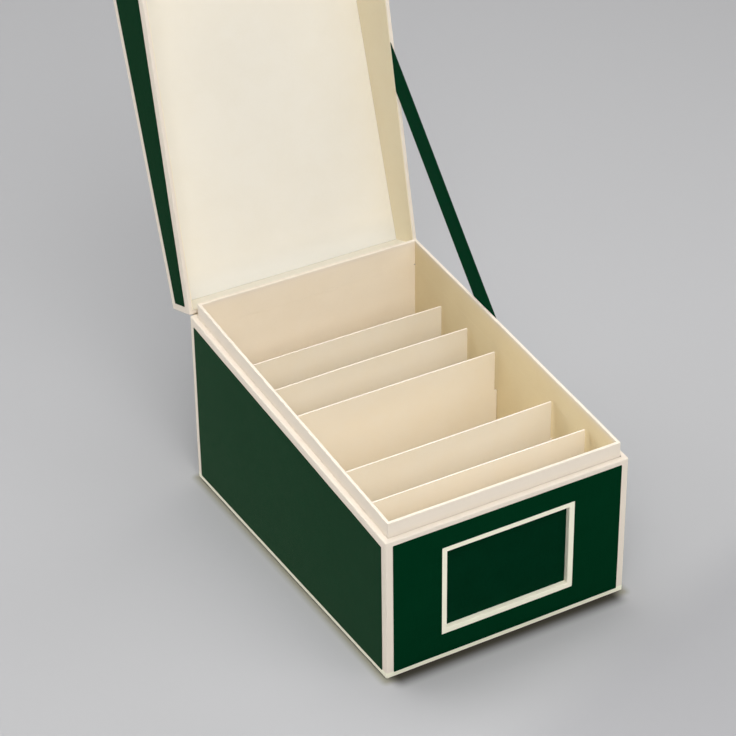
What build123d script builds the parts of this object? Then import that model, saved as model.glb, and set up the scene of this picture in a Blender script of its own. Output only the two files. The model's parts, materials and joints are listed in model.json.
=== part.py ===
"""Photo storage box: a covered board box with a raised inner neck, a sloping rim, a hinged wedge lid
held by a ribbon, a label card behind a window in the front wall, and five loose divider cards.

Millimetres, +Z up. The origin is the middle of the underside, the label faces -Y and the hinge is at +Y.
The box stands open, as it is stored: the lid leans back on its ribbon.
"""
from build123d import *
from math import cos, radians, sin, sqrt
import os

# Overall sizes of the covered box, with heights above the surface that it stands on
box_width = 178.0
box_depth = 258.0
front_height = 105.6
rear_height = 131.9
lid_rear_height = 27.5
open_angle = 107.8

# Boards, papers and cloth
shell_board = 3.0
lid_board = 2.4
neck_board = 1.8
covering_paper = 0.4
neck_paper = 0.2
lining_paper = 0.4
cloth = 0.4
foot_sheet = 1.3
edge_round = 0.9

# The neck that stands inside the shell
neck_rise = 10.5
neck_turn_in = 19.0
neck_slot = 0.5
floor_card = 0.6

# Clearances of the lid
rim_gap = 0.3
swing_clearance = 0.2

# How far a cut runs past the face that it opens
cut_over = 1.0

# Cloth panels, as margins of cream paper left bare around them
side_margin = 5.2
foot_margin = 3.7
front_top_margin = 3.6
slope_top_margin = 6.0
lid_margin = 6.3
underside_margin = 2.5
underside_turn_in = 16.0

# Label window and its card
window_width = 90.0
window_height = 59.2
window_middle = 53.7
window_border = 3.9
label_width = 100.0
label_height = 98.6
label_thickness = 0.3

# Hinge cloth along the rear edge
hinge_flap = 5.4
hinge_cloth = 0.35
hinge_fold_gap = 0.8
hinge_end_inset = 4.0

# Ribbon stay on the right-hand side
ribbon_width = 18.2
ribbon_thickness = 0.35
ribbon_tail = 30.0
ribbon_shell_y = 25.2
ribbon_lid_y = -0.8
ribbon_offset = 0.12

# Divider cards, as gaps from the neck's rear wall and from its front wall
rear_divider_gaps = [39.1, 73.4, 107.9]
front_divider_gaps = [69.2, 31.2]
divider_height = 104.5
divider_thickness = 1.2
divider_shoulder = 73.7
divider_side_gap = 0.5
divider_tab_inset = 2.4

os.makedirs("parts", exist_ok=True)

# Faces that several pieces share
half_width = box_width / 2
half_depth = box_depth / 2
closed_height = rear_height + lid_rear_height
shell_wall = covering_paper + shell_board
lid_wall = covering_paper + lid_board + lining_paper
neck_wall = neck_board + 2 * neck_paper
floor_low = foot_sheet + covering_paper
floor_top = floor_low + shell_board
lining_top = floor_top + floor_card
board_round = edge_round - covering_paper


def rim(y):
    """Height of the shell's sloping rim at y."""
    return front_height + (rear_height - front_height) * (y + half_depth) / box_depth


def raised(line, by):
    """The same line along y, moved up by a distance."""
    return lambda y: line(y) + by


def level(z):
    """A level line at height z."""
    return lambda y: z


lid_rim = raised(rim, rim_gap)
neck_top = raised(rim, neck_rise)
neck_fold = raised(neck_top, -neck_turn_in)

# The neck stands one slot inside the shell, and further at the front where the lid's front wall swings past it
neck_drop = rear_height - neck_top(-half_depth)
swing_reach = sqrt((box_depth - lid_wall - swing_clearance) ** 2 - neck_drop**2)
neck_out_x = half_width - shell_wall - neck_slot
neck_out_rear = half_depth - shell_wall - neck_slot
neck_out_front = max(half_depth - swing_reach, -half_depth + shell_wall + neck_slot)
neck_in_x = neck_out_x - neck_wall
neck_in_rear = neck_out_rear - neck_wall
neck_in_front = neck_out_front + neck_wall

# Side planes: across the box, and the same plane turned back with the open lid about the hinge line
turn = radians(open_angle)
lid_along = Vector(0, cos(turn), -sin(turn))
lid_up = Vector(0, sin(turn), cos(turn))
hinge_line = Vector(0, half_depth, rear_height)
shell_side = Plane.YZ
lid_side = Plane(
    origin=hinge_line - lid_along * half_depth - lid_up * rear_height,
    x_dir=lid_along,
    z_dir=(1, 0, 0),
)
lid_height = Axis((0, 0, 0), lid_up)
lid_depth = Axis((0, 0, 0), lid_along)


def slab(side, x_span, y_span, low, high, mode=Mode.ADD):
    """A block between two x and two y, from the line low up to the line high, seen on a side plane."""
    y0, y1 = y_span
    with BuildSketch(side.offset(x_span[0])) as profile:
        with BuildLine():
            Polyline((y0, low(y0)), (y1, low(y1)), (y1, high(y1)), (y0, high(y0)), close=True)
        make_face()
    extrude(profile.sketch, amount=x_span[1] - x_span[0], mode=mode)


def both(half):
    """A span that reaches as far to each side of the middle."""
    return (-half, half)


def around(inset):
    """The y span of the box, drawn in from both ends."""
    return (-half_depth + inset, half_depth - inset)


def keep(piece, name):
    """Name a finished piece and write it."""
    piece.part.label = name
    export_step(piece.part, f"parts/{name}.step")


# Shell: five grey boards. The front and rear boards run the full width, the side boards stand between them
with BuildPart() as base_floor_board:
    slab(shell_side, both(half_width - covering_paper), around(covering_paper), level(floor_low),
         level(floor_top))
    fillet(base_floor_board.edges().sort_by(Axis.Z)[:-4], board_round)
keep(base_floor_board, "base_floor_board")

board_top = raised(rim, -covering_paper)

with BuildPart() as base_front_board:
    slab(shell_side, both(half_width - covering_paper),
         (-half_depth + covering_paper, -half_depth + shell_wall), level(floor_top), board_top)
    fillet(base_front_board.faces().sort_by(Axis.Y)[0].edges(), board_round)
    with BuildSketch(Plane.XZ.offset(half_depth)):
        with Locations((0, window_middle)):
            Rectangle(window_width + 2 * covering_paper, window_height + 2 * covering_paper)
    extrude(amount=-shell_wall, mode=Mode.SUBTRACT)
keep(base_front_board, "base_front_board")

with BuildPart() as base_rear_board:
    slab(shell_side, both(half_width - covering_paper),
         (half_depth - shell_wall, half_depth - covering_paper), level(floor_top), board_top)
    fillet(base_rear_board.faces().sort_by(Axis.Y)[-1].edges(), board_round)
keep(base_rear_board, "base_rear_board")

for name, side in (("base_left_board", -1), ("base_right_board", 1)):
    across = sorted((side * (half_width - covering_paper), side * (half_width - shell_wall)))
    with BuildPart() as side_board:
        slab(shell_side, across, around(shell_wall), level(floor_top), board_top)
        outer_face = side_board.faces().sort_by(Axis.X)[0 if side < 0 else -1]
        fillet(outer_face.edges().sort_by(Axis.Z)[-1], board_round)
    keep(side_board, name)

# Cream covering paper: the outside, folded over the rim, through the window and under the foot
with BuildPart() as base_wrap:
    slab(shell_side, both(half_width), around(0), level(foot_sheet), rim)
    fillet(base_wrap.edges(), edge_round)
    slab(shell_side, both(half_width - covering_paper), around(covering_paper), level(floor_low),
         board_top, Mode.SUBTRACT)
    slab(shell_side, both(half_width - shell_wall), around(shell_wall), level(floor_top),
         raised(rim, covering_paper), Mode.SUBTRACT)
    slab(shell_side, both(half_width - underside_turn_in), around(underside_turn_in), level(0),
         level(floor_top), Mode.SUBTRACT)
    with BuildSketch(Plane.XZ.offset(half_depth)):
        with Locations((0, window_middle)):
            Rectangle(window_width + 2 * covering_paper, window_height + 2 * covering_paper)
    extrude(amount=-shell_wall)
    with BuildSketch(Plane.XZ.offset(half_depth)):
        with Locations((0, window_middle)):
            Rectangle(window_width, window_height)
    extrude(amount=-shell_wall, mode=Mode.SUBTRACT)
keep(base_wrap, "base_wrap")

# Card under the foot, covered with green cloth: it lifts the edges of the box just off the table
with BuildPart() as base_bottom_sheet:
    slab(shell_side, both(half_width - underside_margin), around(underside_margin), level(0),
         level(foot_sheet))
keep(base_bottom_sheet, "base_bottom_sheet")

# Green cloth panels pasted on the shell
panel_foot = foot_sheet + foot_margin
slope_top = raised(rim, -slope_top_margin)

with BuildPart() as base_front_panel:
    slab(shell_side, both(half_width - side_margin), (-half_depth - cloth, -half_depth),
         level(panel_foot), level(front_height - front_top_margin))
    with BuildSketch(Plane.XZ.offset(half_depth + cloth)):
        with Locations((0, window_middle)):
            Rectangle(window_width + 2 * window_border, window_height + 2 * window_border)
    extrude(amount=-cloth, mode=Mode.SUBTRACT)
keep(base_front_panel, "base_front_panel")

with BuildPart() as base_rear_panel:
    slab(shell_side, both(half_width - side_margin), (half_depth, half_depth + cloth),
         level(panel_foot), level(slope_top(half_depth)))
keep(base_rear_panel, "base_rear_panel")

for name, side in (("base_left_panel", -1), ("base_right_panel", 1)):
    across = sorted((side * half_width, side * (half_width + cloth)))
    with BuildPart() as side_panel:
        slab(shell_side, across, around(side_margin), level(panel_foot), slope_top)
    keep(side_panel, name)

# Neck: four thin boards on the floor board, one slot inside the shell
neck_core_x = neck_out_x - neck_paper
neck_core_front = neck_out_front + neck_paper
neck_core_rear = neck_out_rear - neck_paper
core_top = raised(neck_top, -neck_paper)

with BuildPart() as neck_front_board:
    slab(shell_side, both(neck_core_x), (neck_core_front, neck_core_front + neck_board),
         level(floor_top), core_top)
keep(neck_front_board, "neck_front_board")

with BuildPart() as neck_rear_board:
    slab(shell_side, both(neck_core_x), (neck_core_rear - neck_board, neck_core_rear),
         level(floor_top), core_top)
keep(neck_rear_board, "neck_rear_board")

for name, side in (("neck_left_board", -1), ("neck_right_board", 1)):
    across = sorted((side * neck_core_x, side * (neck_core_x - neck_board)))
    with BuildPart() as neck_side_board:
        slab(shell_side, across, (neck_core_front + neck_board, neck_core_rear - neck_board),
             level(floor_top), core_top)
    keep(neck_side_board, name)

# Cream paper folded over the top of the neck, as far down inside as outside
with BuildPart() as neck_wrap:
    slab(shell_side, both(neck_out_x), (neck_out_front, neck_out_rear), neck_fold, neck_top)
    slab(shell_side, both(neck_core_x), (neck_core_front, neck_core_rear), raised(neck_fold, -cut_over),
         core_top, Mode.SUBTRACT)
    slab(shell_side, both(neck_in_x + neck_paper), (neck_in_front - neck_paper, neck_in_rear + neck_paper),
         neck_fold, neck_top)
    slab(shell_side, both(neck_in_x), (neck_in_front, neck_in_rear), raised(neck_fold, -cut_over),
         raised(neck_top, cut_over), Mode.SUBTRACT)
keep(neck_wrap, "neck_wrap")

# Lining: a card on the floor, and paper on the walls up to the folded edge
with BuildPart() as floor_lining:
    slab(shell_side, both(neck_in_x + neck_paper), (neck_in_front - neck_paper, neck_in_rear + neck_paper),
         level(floor_top), level(lining_top))
keep(floor_lining, "floor_lining")

with BuildPart() as wall_lining:
    slab(shell_side, both(neck_in_x + neck_paper), (neck_in_front - neck_paper, neck_in_rear + neck_paper),
         level(lining_top), neck_fold)
    slab(shell_side, both(neck_in_x), (neck_in_front, neck_in_rear), level(floor_top),
         raised(neck_fold, cut_over), Mode.SUBTRACT)
keep(wall_lining, "wall_lining")

# Label card: slides down between the front board and the neck, and shows through the window
label_front = (-half_depth + shell_wall + neck_out_front - label_thickness) / 2
with BuildPart() as label_card:
    slab(shell_side, both(label_width / 2), (label_front, label_front + label_thickness),
         level(floor_top), level(floor_top + label_height))
keep(label_card, "label_card")

# Lid: five boards, turned back about the hinge line with everything that is fixed to them
lid_board_low = raised(lid_rim, covering_paper)
lid_board_high = level(closed_height - covering_paper)
lid_wall_high = level(closed_height - covering_paper - lid_board)

with BuildPart() as lid_top_board:
    slab(lid_side, both(half_width - covering_paper), around(covering_paper), lid_wall_high, lid_board_high)
    fillet(lid_top_board.edges().sort_by(lid_height)[4:], board_round)
keep(lid_top_board, "lid_top_board")

with BuildPart() as lid_front_board:
    slab(lid_side, both(half_width - covering_paper),
         (-half_depth + covering_paper, -half_depth + covering_paper + lid_board), lid_board_low, lid_wall_high)
    fillet(lid_front_board.faces().sort_by(lid_depth)[0].edges(), board_round)
keep(lid_front_board, "lid_front_board")

with BuildPart() as lid_rear_board:
    slab(lid_side, both(half_width - covering_paper),
         (half_depth - covering_paper - lid_board, half_depth - covering_paper), lid_board_low, lid_wall_high)
    fillet(lid_rear_board.faces().sort_by(lid_depth)[-1].edges(), board_round)
keep(lid_rear_board, "lid_rear_board")

# Ribbon: pulled straight from the slot beside the neck to the rim of the open lid
shell_exit = Vector(0, ribbon_shell_y, rim(ribbon_shell_y))
lid_exit = lid_side.from_local_coords((ribbon_lid_y, lid_rim(ribbon_lid_y), 0))
ribbon_run = (lid_exit - shell_exit).normalized()
ribbon_across = Vector(1, 0, 0).cross(ribbon_run)
shell_rim_run = Vector(0, box_depth, rear_height - front_height).normalized()
lid_rim_run = (
    lid_side.from_local_coords((half_depth, lid_rim(half_depth), 0))
    - lid_side.from_local_coords((-half_depth, lid_rim(-half_depth), 0))
).normalized()


def along_ribbon(start, rim_run, side):
    """How far along the ribbon its edge on one side meets a rim line through start."""
    to_edge = side * ribbon_width / 2
    slant = rim_run.dot(ribbon_run) / rim_run.dot(ribbon_across)
    return (start - shell_exit).dot(ribbon_run) + to_edge * slant


shell_ends = [along_ribbon(shell_exit, shell_rim_run, side) for side in (-1, 1)]
lid_ends = [along_ribbon(lid_exit, lid_rim_run, side) for side in (-1, 1)]
ribbon_shell_x = neck_out_x + ribbon_offset
ribbon_lid_x = half_width - covering_paper - lid_board


def strip(plane, starts, ends, mode=Mode.ADD):
    """A length of ribbon on a plane whose x runs along it, from two start to two end distances."""
    half = ribbon_width / 2
    with BuildSketch(plane) as outline:
        with BuildLine():
            Polyline((starts[0], -half), (starts[1], half), (ends[1], half), (ends[0], -half), close=True)
        make_face()
    extrude(outline.sketch, amount=ribbon_thickness, mode=mode)


shell_tail_plane = Plane(origin=shell_exit + (ribbon_shell_x, 0, 0), x_dir=ribbon_run, z_dir=(1, 0, 0))
lid_tail_plane = Plane(origin=shell_exit + (ribbon_lid_x, 0, 0), x_dir=ribbon_run, z_dir=(1, 0, 0))
span_run = lid_exit + (ribbon_lid_x, 0, 0) - shell_exit - (ribbon_shell_x, 0, 0)
span_plane = Plane(
    origin=shell_exit + (ribbon_shell_x, 0, 0),
    x_dir=span_run,
    z_dir=span_run.cross(ribbon_across),
)
lid_tail_ends = [lid_exit_at + ribbon_tail for lid_exit_at in lid_ends]

with BuildPart() as ribbon_base_tail:
    strip(shell_tail_plane, [end - ribbon_tail for end in shell_ends], shell_ends)
keep(ribbon_base_tail, "ribbon_base_tail")

with BuildPart() as ribbon_span:
    strip(span_plane, shell_ends, lid_ends)
keep(ribbon_span, "ribbon_span")

with BuildPart() as ribbon_lid_tail:
    strip(lid_tail_plane, lid_ends, lid_tail_ends)
keep(ribbon_lid_tail, "ribbon_lid_tail")

for name, side in (("lid_left_board", -1), ("lid_right_board", 1)):
    across = sorted((side * (half_width - covering_paper), side * (half_width - covering_paper - lid_board)))
    with BuildPart() as lid_side_board:
        slab(lid_side, across, around(covering_paper + lid_board), lid_board_low, lid_wall_high)
        outer_face = lid_side_board.faces().sort_by(Axis.X)[0 if side < 0 else -1]
        fillet(outer_face.edges().sort_by(lid_height)[0], board_round)
        if side > 0:
            strip(lid_tail_plane, lid_ends, lid_tail_ends, Mode.SUBTRACT)
    keep(lid_side_board, name)

# Cream covering paper of the lid, folded over its rim and let in where the ribbon comes out
with BuildPart() as lid_wrap:
    slab(lid_side, both(half_width), around(0), lid_rim, level(closed_height))
    fillet(lid_wrap.edges(), edge_round)
    slab(lid_side, both(half_width - covering_paper), around(covering_paper), lid_board_low,
         lid_board_high, Mode.SUBTRACT)
    slab(lid_side, both(half_width - covering_paper - lid_board), around(covering_paper + lid_board), rim,
         lid_wall_high, Mode.SUBTRACT)
    strip(lid_tail_plane, lid_ends, lid_tail_ends, Mode.SUBTRACT)
keep(lid_wrap, "lid_wrap")

# Lining of the lid: a sheet under the top and a band round the walls
with BuildPart() as lid_top_lining:
    slab(lid_side, both(half_width - covering_paper - lid_board), around(covering_paper + lid_board),
         level(closed_height - lid_wall), lid_wall_high)
keep(lid_top_lining, "lid_top_lining")

with BuildPart() as lid_wall_lining:
    slab(lid_side, both(half_width - covering_paper - lid_board), around(covering_paper + lid_board),
         lid_rim, level(closed_height - lid_wall))
    slab(lid_side, both(half_width - lid_wall), around(lid_wall), rim, level(closed_height), Mode.SUBTRACT)
keep(lid_wall_lining, "lid_wall_lining")

# Green cloth panels pasted on the lid
panel_low = raised(lid_rim, lid_margin)
panel_high = level(closed_height - lid_margin)

with BuildPart() as lid_top_panel:
    slab(lid_side, both(half_width - lid_margin), around(lid_margin), level(closed_height),
         level(closed_height + cloth))
keep(lid_top_panel, "lid_top_panel")

with BuildPart() as lid_front_panel:
    slab(lid_side, both(half_width - side_margin), (-half_depth - cloth, -half_depth),
         level(panel_low(-half_depth)), panel_high)
keep(lid_front_panel, "lid_front_panel")

with BuildPart() as lid_rear_panel:
    slab(lid_side, both(half_width - side_margin), (half_depth, half_depth + cloth),
         level(panel_low(half_depth)), panel_high)
keep(lid_rear_panel, "lid_rear_panel")

for name, side in (("lid_left_panel", -1), ("lid_right_panel", 1)):
    across = sorted((side * half_width, side * (half_width + cloth)))
    with BuildPart() as lid_side_panel:
        slab(lid_side, across, around(side_margin), panel_low, panel_high)
    keep(lid_side_panel, name)

# Hinge: cloth pasted on both rear walls, with its rounded fold on the hinge line
hinge_half = half_width - hinge_end_inset

with BuildPart() as hinge_cloth_base:
    slab(shell_side, both(hinge_half), (half_depth, half_depth + hinge_cloth),
         level(rear_height - hinge_flap), level(rear_height))
    with Locations(hinge_line):
        Cylinder(hinge_cloth, 2 * hinge_half, rotation=(0, 90, 0))
keep(hinge_cloth_base, "hinge_cloth_base")

with BuildPart() as hinge_cloth_lid:
    slab(lid_side, both(hinge_half), (half_depth, half_depth + hinge_cloth),
         level(rear_height + hinge_fold_gap), level(rear_height + hinge_flap))
keep(hinge_cloth_lid, "hinge_cloth_lid")

# Dividers: cards that stand on the floor lining, drawn in above a shoulder
divider_half = neck_in_x - divider_side_gap
tab_half = neck_in_x - divider_tab_inset
shoulder = lining_top + divider_shoulder
divider_top = lining_top + divider_height
divider_places = [neck_in_rear - gap for gap in rear_divider_gaps]
divider_places += [neck_in_front + gap for gap in front_divider_gaps]

for number, place in enumerate(divider_places, start=1):
    with BuildPart() as divider:
        with BuildSketch(Plane.XZ.offset(-place - divider_thickness / 2)):
            with BuildLine():
                Polyline(
                    (-divider_half, lining_top), (divider_half, lining_top), (divider_half, shoulder),
                    (tab_half, shoulder), (tab_half, divider_top), (-tab_half, divider_top),
                    (-tab_half, shoulder), (-divider_half, shoulder), close=True,
                )
            make_face()
        extrude(amount=divider_thickness)
    keep(divider, f"divider_{number}")
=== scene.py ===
"""Photo storage box, standing open: its papers, cloths, cards and ribbon around the boards that carry them.

The script goes through the box as it is put together: the studio, the grey boards, the body's paper and
cloth, the neck, the linings, the label card, the lid, the hinge, the ribbon and the divider cards.
Metres, +Z up. The label faces -Y, the hinge is at +Y, and sizes are written in millimetres times MM.
"""
import json
from contextlib import contextmanager
from math import copysign, cos, pi, radians, sin, tan

import bmesh
import bpy
from mathutils import Matrix, Vector, noise


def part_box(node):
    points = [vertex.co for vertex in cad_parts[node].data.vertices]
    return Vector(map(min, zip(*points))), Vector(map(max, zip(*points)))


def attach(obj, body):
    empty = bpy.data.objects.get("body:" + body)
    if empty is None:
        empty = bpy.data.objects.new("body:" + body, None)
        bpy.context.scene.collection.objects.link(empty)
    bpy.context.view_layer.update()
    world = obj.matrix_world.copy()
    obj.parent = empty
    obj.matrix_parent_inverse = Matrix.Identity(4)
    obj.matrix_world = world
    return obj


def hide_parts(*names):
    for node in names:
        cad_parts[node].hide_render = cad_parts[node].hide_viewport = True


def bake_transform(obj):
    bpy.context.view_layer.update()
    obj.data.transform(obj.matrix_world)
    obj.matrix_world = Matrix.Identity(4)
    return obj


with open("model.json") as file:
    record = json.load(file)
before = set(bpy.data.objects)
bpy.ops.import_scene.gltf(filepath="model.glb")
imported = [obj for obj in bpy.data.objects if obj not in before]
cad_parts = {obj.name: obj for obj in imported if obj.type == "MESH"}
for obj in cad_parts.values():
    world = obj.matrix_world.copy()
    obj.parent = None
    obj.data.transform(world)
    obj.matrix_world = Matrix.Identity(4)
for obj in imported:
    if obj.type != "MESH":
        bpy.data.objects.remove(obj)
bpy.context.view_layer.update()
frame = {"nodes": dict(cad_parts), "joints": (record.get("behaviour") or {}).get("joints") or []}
MM = 0.001

# Camera: it looks down on the label corner of the box from the front left, through a long lens. Its place
# and angles were fitted to the corners of the box in the photograph.
CAMERA_PLACE = Vector((-718.8, -1215.8, 1032.3)) * MM
CAMERA_AZIMUTH = radians(-29.68)
CAMERA_ELEVATION = radians(32.52)
CAMERA_ROLL = radians(-0.75)
CAMERA_LENS = 126.62

bpy.ops.object.camera_add()
camera = bpy.context.object
camera.data.lens = CAMERA_LENS
camera.matrix_world = (
    Matrix.Translation(CAMERA_PLACE)
    @ Matrix.Rotation(CAMERA_AZIMUTH, 4, "Z")
    @ Matrix.Rotation(pi / 2 - CAMERA_ELEVATION, 4, "X")
    @ Matrix.Rotation(CAMERA_ROLL, 4, "Z")
)
bpy.context.scene.camera = camera
bpy.context.scene.view_settings.view_transform = "Standard"


# Studio light: a large soft box above the front left, and weaker ones round the table that fill the
# shadows. The pale room behind the table is seen, but gives no light of its own.
LIGHT_AIM = Vector((0, 20, 80)) * MM
ROOM_GREY = (0.33, 0.33, 0.34)
SOFT_BOXES = {
    "key": dict(azimuth=-20, elevation=50, distance=3.0, size=1.8, watts=22.7),
    "near_key": dict(azimuth=-23, elevation=48, distance=1.9, size=1.2, watts=8.8),
    "front": dict(azimuth=-10, elevation=35, distance=1.9, size=1.2, watts=8.2),
    "front_right": dict(azimuth=35, elevation=35, distance=1.9, size=1.2, watts=7.0),
    "right": dict(azimuth=105, elevation=22, distance=4.75, size=3.0, watts=43.8),
    "top_right": dict(azimuth=150, elevation=70, distance=1.9, size=1.2, watts=11.8),
    "top_left": dict(azimuth=-150, elevation=70, distance=1.9, size=1.2, watts=8.6),
    "rear_left": dict(azimuth=-150, elevation=22, distance=4.75, size=3.0, watts=73.8),
    "left": dict(azimuth=-115, elevation=12, distance=4.75, size=3.0, watts=61.0),
}


def soft_box(name, azimuth, elevation, distance, size, watts):
    """A square area light that faces the box, turned from the front by its azimuth."""
    across, up = radians(azimuth), radians(elevation)
    away = Vector((sin(across) * cos(up), -cos(across) * cos(up), sin(up)))
    bpy.ops.object.light_add(type="AREA", location=LIGHT_AIM + away * distance)
    light = bpy.context.object
    light.name = name
    light.rotation_euler = away.to_track_quat("Z", "Y").to_euler()
    light.data.size = size
    light.data.energy = watts


for light_name, setting in SOFT_BOXES.items():
    soft_box(light_name, **setting)

room = bpy.data.worlds.new("room")
bpy.context.scene.world = room
room.use_nodes = True
room_light = room.node_tree.nodes["Background"]
room_light.inputs["Color"].default_value = (*ROOM_GREY, 1)
room_rays = room.node_tree.nodes.new("ShaderNodeLightPath")
room.node_tree.links.new(room_rays.outputs["Is Camera Ray"], room_light.inputs["Strength"])


# Materials: each has one shader, and its node tree is written as sums and products of sockets. Patterns lie
# on Object coordinates, or on a piece's own map of its threads.
THREAD_MAP = "threads"

# The sockets that a Mix node uses for colours.
MIX_SHARE, MIX_FIRST, MIX_SECOND = 0, 6, 7
MIX_RESULT = 2


class Value:
    """One output of a node, which the arithmetic signs join to others through Math nodes."""

    def __init__(self, finish, socket):
        self.finish = finish
        self.socket = socket

    def __add__(self, other):
        return self.finish.maths("ADD", self, other)

    def __radd__(self, other):
        return self.finish.maths("ADD", other, self)

    def __sub__(self, other):
        return self.finish.maths("SUBTRACT", self, other)

    def __rsub__(self, other):
        return self.finish.maths("SUBTRACT", other, self)

    def __mul__(self, other):
        return self.finish.maths("MULTIPLY", self, other)

    def __rmul__(self, other):
        return self.finish.maths("MULTIPLY", other, self)

    def __gt__(self, other):
        return self.finish.maths("GREATER_THAN", self, other)


class Finish:
    """A material with one shader, and the nodes that feed it."""

    def __init__(
        self, name, specular, roughness=0.5, sheen=0.0, sheen_roughness=0.5, sheen_tint=(1, 1, 1, 1)
    ):
        self.material = bpy.data.materials.new(name)
        self.material.use_nodes = True
        self.tree = self.material.node_tree
        self.shader = self.tree.nodes["Principled BSDF"]
        self.set("Roughness", roughness)
        self.set("Specular IOR Level", specular)
        self.set("Sheen Weight", sheen)
        self.set("Sheen Roughness", sheen_roughness)
        self.set("Sheen Tint", sheen_tint)

    def put(self, socket, value):
        """Give an input socket a link or a plain value."""
        if isinstance(value, Value):
            self.tree.links.new(value.socket, socket)
        else:
            socket.default_value = value

    def set(self, name, value):
        self.put(self.shader.inputs[name], value)

    def node(self, kind, settings=None, inputs=None, output=0):
        """A node of any kind: its settings first, then its sockets by name or number."""
        node = self.tree.nodes.new(kind)
        for name, setting in (settings or {}).items():
            setattr(node, name, setting)
        for name, value in (inputs or {}).items():
            self.put(node.inputs[name], value)
        return Value(self, node.outputs[output])

    def maths(self, operation, *values):
        return self.node("ShaderNodeMath", {"operation": operation}, dict(enumerate(values)))

    def vectors(self, operation, *values, output="Vector"):
        return self.node("ShaderNodeVectorMath", {"operation": operation}, dict(enumerate(values)), output)

    def along(self, vector, run):
        """How far a vector goes in a direction."""
        return self.vectors("DOT_PRODUCT", vector, run, output="Value")

    def length(self, vector):
        return self.vectors("LENGTH", vector, output="Value")

    def mix(self, share, first, second):
        """A colour that goes from the first to the second as share goes from 0 to 1."""
        inputs = {MIX_SHARE: share, MIX_FIRST: first, MIX_SECOND: second}
        return self.node("ShaderNodeMix", {"data_type": "RGBA"}, inputs, MIX_RESULT)

    def place(self, stretch=(1, 1, 1)):
        """Where a point is on the object, in metres, stretched along each axis."""
        return self.vectors("MULTIPLY", self.node("ShaderNodeTexCoord", output="Object"), stretch)

    def thread_place(self, turns):
        """Where a point is on the piece's own map, one unit to each thread."""
        return self.vectors("MULTIPLY", self.node("ShaderNodeUVMap", {"uv_map": THREAD_MAP}), turns)

    def split(self, vector):
        """The x and y of a vector."""
        x = self.node("ShaderNodeSeparateXYZ", inputs={"Vector": vector})
        y = Value(self, x.socket.node.outputs["Y"])
        return x, y

    def waves(self, value):
        """Round ridges from 0 to 1, one to each unit of a value."""
        return 0.5 + 0.5 * self.maths("COSINE", value * (2 * pi))

    def cloud(self, place, size, detail=3.0, roughness=0.5):
        """Soft random blotches of a size in metres, from about 0.2 to 0.8."""
        settings = {"Vector": place, "Scale": 1 / size, "Detail": detail, "Roughness": roughness}
        return self.node("ShaderNodeTexNoise", inputs=settings)

    def between(self, value, low, high, to_low=0.0, to_high=1.0):
        """A value's range mapped smoothly to another, and held at its ends."""
        inputs = {"Value": value, "From Min": low, "From Max": high, "To Min": to_low, "To Max": to_high}
        return self.node("ShaderNodeMapRange", {"interpolation_type": "SMOOTHSTEP"}, inputs)

    def tint(self, share, colour):
        """Turn the base colour towards another one where share is above 0."""
        base = self.shader.inputs["Base Color"].links[0].from_socket
        self.set("Base Color", self.mix(share, Value(self, base), colour))

    def relief(self, *layers):
        """Bumps on the surface, each a height and how deep it goes in metres."""
        normal = None
        for height, depth in layers:
            inputs = {"Height": height, "Distance": depth, "Strength": 1.0}
            if normal:
                inputs["Normal"] = normal
            normal = self.node("ShaderNodeBump", inputs=inputs)
        self.set("Normal", normal)


# The table: a pale, plain, matt sheet that the box stands on, with a painted contact shadow right at its
# foot, where little light gets in, and a little painted shade at its near right end. Far off it turns into
# the room's own grey, glowing as painted light.
FLOOR_SIZE = 30.0
FOOT_SHADE = (0.250, 0.237, 0.165, 1)
FOOT_SHADE_REACH = 6.5 * MM
FOOT_SHADE_DEPTH = 0.75
FRONT_SHADE = (0.020, 0.016, 0.010, 1)
FRONT_SHADE_START = 1 * MM
FRONT_SHADE_REACH = 13.5 * MM
FRONT_SHADE_ENDS = 9 * MM
FRONT_SHADE_DEPTH = 0.87
GLOW_START = 0.95
GLOW_END = 2.6
BLACK = (0, 0, 0, 1)
FLOOR_COLOUR = (0.471, 0.471, 0.479, 1)
FLOOR_PAINTED_SHADE = (0.413, 0.412, 0.424, 1)
PAINTED_SHADE_RUN = (0.35, -0.94, 0)
PAINTED_SHADE_START = 160 * MM
PAINTED_SHADE_END = 215 * MM

bpy.ops.mesh.primitive_plane_add(size=FLOOR_SIZE)
floor = bpy.context.object
floor.name = "floor"
table = Finish("floor", specular=0.1, roughness=0.9)
table_place = table.place()
foot_low, foot_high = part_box("base_wrap")
from_middle = table.vectors("SUBTRACT", table_place, (foot_low + foot_high) / 2)
past_foot = table.vectors("SUBTRACT", table.vectors("ABSOLUTE", from_middle), (foot_high - foot_low) / 2)
past_side, past_end = table.split(past_foot)
off_foot = table.vectors("MULTIPLY", table.vectors("MAXIMUM", past_foot, (0, 0, 0)), (1, 1, 0))
# Painted contact shadow: the sheet is painted darker round the box's foot, and darkest in front of it.
foot_shade = table.between(table.length(off_foot), 0, FOOT_SHADE_REACH, FOOT_SHADE_DEPTH, 0)
at_front = table.along(from_middle, (0, -1, 0)) > 0
front_fade = table.between(past_end, FRONT_SHADE_START, FRONT_SHADE_REACH, FRONT_SHADE_DEPTH, 0)
front_ends = table.between(past_side, -FRONT_SHADE_ENDS, FRONT_SHADE_START, 1, 0)
# Painted shade: the sheet is painted a little darker towards its near right end.
painted_shade_near_end = table.between(table.along(table_place, PAINTED_SHADE_RUN), PAINTED_SHADE_START, PAINTED_SHADE_END)
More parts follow.
